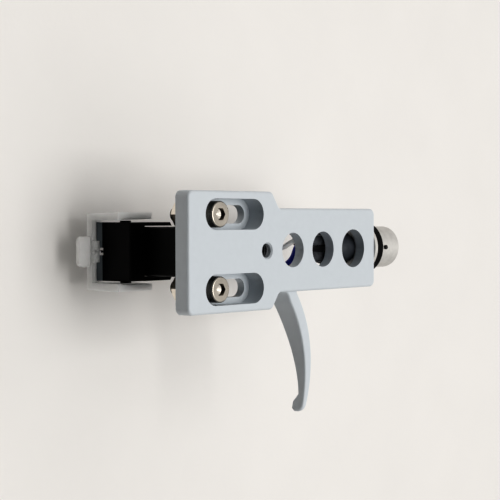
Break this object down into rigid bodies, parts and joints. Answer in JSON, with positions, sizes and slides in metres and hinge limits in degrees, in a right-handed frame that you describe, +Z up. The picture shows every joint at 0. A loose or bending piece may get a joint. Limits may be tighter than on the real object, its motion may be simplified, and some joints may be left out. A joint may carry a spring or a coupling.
{
  "type": "turntable_cartridge",
  "caption": "Painted turntable headshell with finger lift and bayonet plug, and a black moving-magnet cartridge under it with a translucent stylus guard.",
  "frame": {"origin": "bayonet axis at the rear face of the gasket, where the tonearm's socket seats", "axes": "+X to the rear along the bayonet plug, +Y away from the finger lift, +Z up"},
  "size_m": [0.0684, 0.0396, 0.0227],
  "materials": {
    "headshell_paint": "satin",
    "nickel": "satin",
    "dark_steel": "satin",
    "black_rubber": "matte",
    "insulator_plastic": "matte",
    "cartridge_plastic": "satin",
    "stylus_plastic": "satin",
    "guard_plastic": "satin",
    "screw_steel": "polished",
    "gold_plate": "gloss",
    "copper": "gloss",
    "pole_iron": "matte",
    "cantilever_alloy": "satin",
    "magnet": "satin",
    "diamond": "polished",
    "lead_white": "satin",
    "lead_blue": "satin",
    "lead_red": "satin",
    "lead_green": "satin"
  },
  "bodies": {
    "headshell_assembly": {"headshell": "headshell_paint", "bayonet_collar": "nickel", "locating_pin": "dark_steel", "gasket_ring": "black_rubber", "contact_insulator": "insulator_plastic", "cartridge_body": "cartridge_plastic", "terminal_plate": "insulator_plastic", "contact_pin_white": "gold_plate", "plug_clip_white": "gold_plate", "clip_boot_white": "black_rubber", "cartridge_clip_white": "gold_plate", "output_pin_white": "gold_plate", "lead_white": "lead_white", "contact_pin_blue": "gold_plate", "plug_clip_blue": "gold_plate", "clip_boot_blue": "black_rubber", "cartridge_clip_blue": "gold_plate", "output_pin_blue": "gold_plate", "lead_blue": "lead_blue", "contact_pin_red": "gold_plate", "plug_clip_red": "gold_plate", "clip_boot_red": "black_rubber", "cartridge_clip_red": "gold_plate", "output_pin_red": "gold_plate", "lead_red": "lead_red", "contact_pin_green": "gold_plate", "plug_clip_green": "gold_plate", "clip_boot_green": "black_rubber", "cartridge_clip_green": "gold_plate", "output_pin_green": "gold_plate", "lead_green": "lead_green", "mounting_screw_left": "screw_steel", "mounting_nut_left": "screw_steel", "bobbin_left": "insulator_plastic", "coil_left": "copper", "pole_piece_left": "pole_iron", "mounting_screw_right": "screw_steel", "mounting_nut_right": "screw_steel", "bobbin_right": "insulator_plastic", "coil_right": "copper", "pole_piece_right": "pole_iron"},
    "stylus": {"stylus_holder": "stylus_plastic", "suspension_sleeve": "nickel", "suspension_bush": "black_rubber"},
    "needle": {"cantilever": "cantilever_alloy", "magnet": "magnet", "diamond_tip": "diamond"},
    "guard": {"stylus_guard": "guard_plastic"}
  },
  "joints": [
    {"name": "stylus_pull", "type": "slide", "parent": "headshell_assembly", "child": "stylus", "axis": [-0.9272, 0, -0.3746], "range_m": [0, 0.009]},
    {"name": "guard_pull", "type": "slide", "parent": "stylus", "child": "guard", "axis": [-1, 0, 0], "range_m": [0, 0.012]},
    {"name": "cantilever_flex", "type": "hinge", "parent": "stylus", "child": "needle", "pos_m": [-0.05047, 0, -0.01345], "axis": [0, 1, 0], "range_deg": [-2, 4], "stiffness_Nm_per_rad": 0.003}
  ]
}
